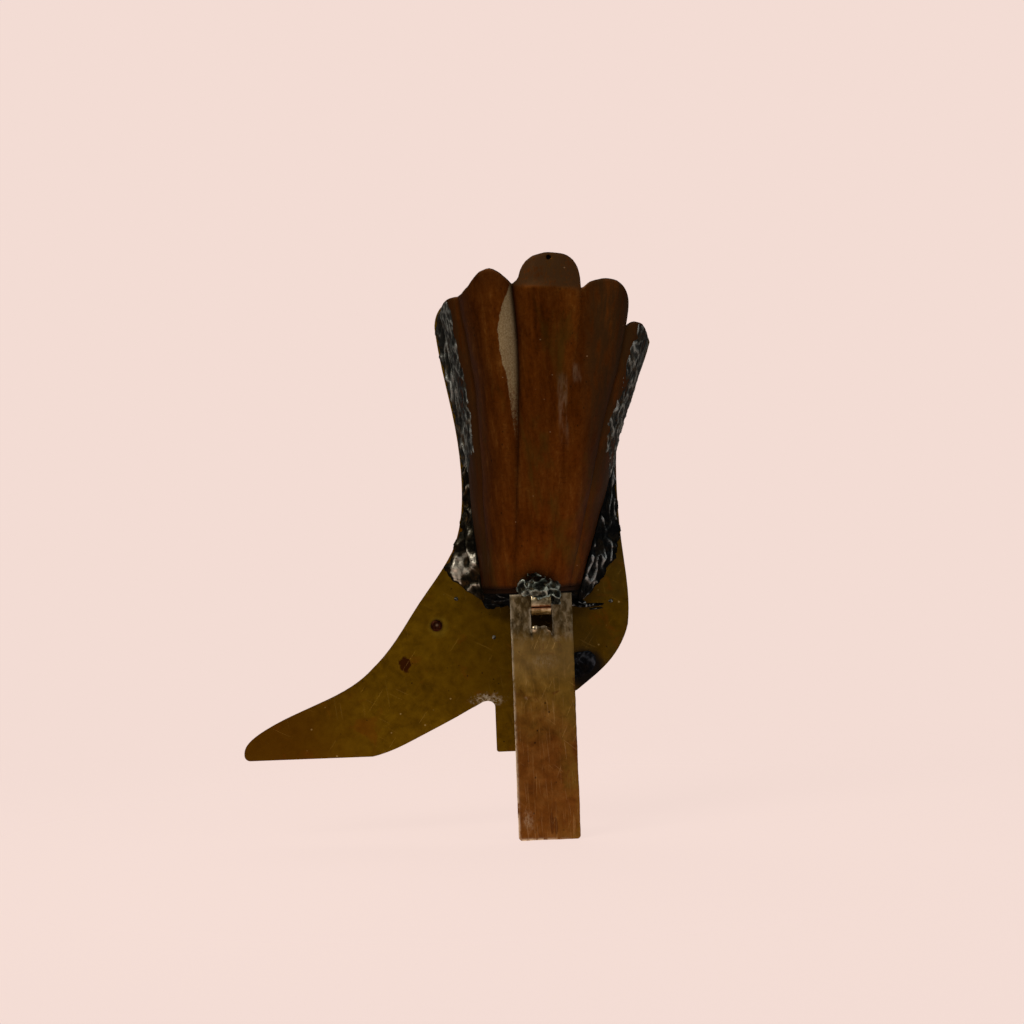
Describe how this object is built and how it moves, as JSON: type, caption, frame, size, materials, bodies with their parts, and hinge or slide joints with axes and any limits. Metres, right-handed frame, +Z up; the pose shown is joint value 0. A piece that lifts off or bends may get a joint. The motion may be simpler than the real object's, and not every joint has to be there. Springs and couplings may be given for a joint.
{
  "type": "boot-shaped desk holder",
  "caption": "Flat brass boot silhouette with a fluted copper pocket soldered to its back and a hinged strut that props it up on a desk.",
  "frame": {"origin": "middle of the heel's bottom face, on the desk plane and at the plate's mid-thickness", "axes": "+Z up along the boot's shaft, +Y out of the plain front face, -Y towards the pocket and strut, -X towards the toe; the strut hangs straight down at rest"},
  "size_m": [0.0867, 0.0232, 0.1155],
  "materials": {
    "brass_plate": "old sheet brass, brown-olive patina with fine scratches",
    "copper_pin": "peened copper, darkened",
    "copper_sheet": "oxidised red-brown copper sheet, streaked along the flutes",
    "copper_floor": "oxidised copper sheet",
    "strut_metal": "rubbed brass at the hinge, reddish and scratched towards the foot",
    "loop_brass": "bright rubbed brass strip",
    "solder_hinge": "lumpy grey solder, dark in its hollows",
    "solder_grey": "rough grey solder with dark flecks",
    "solder_bright": "glossy solder with bright ridges",
    "solder_dark": "dark bluish solder, glossy with bright specks"
  },
  "bodies": {
    "boot": {"boot_plate": "brass_plate", "ankle_pin": "copper_pin", "pocket_shell": "copper_sheet", "pocket_floor": "copper_floor", "hinge_loop": "loop_brass", "hinge_solder": "solder_hinge", "solder_toe_side_upper": "solder_grey", "solder_toe_side_lower": "solder_bright", "solder_heel_side_upper": "solder_grey", "solder_heel_side_lower": "solder_dark", "solder_floor_seam": "solder_dark", "heel_solder_patch": "solder_dark", "solder_drops": "solder_grey"},
    "strut": {"strut": "strut_metal"}
  },
  "joints": [
    {"name": "strut_swing", "type": "hinge", "parent": "boot", "child": "strut", "pos_m": [0.00465, -0.0117, 0.0306], "axis": [-1, 0, 0], "range_deg": [-18.5, 50.2]}
  ]
}
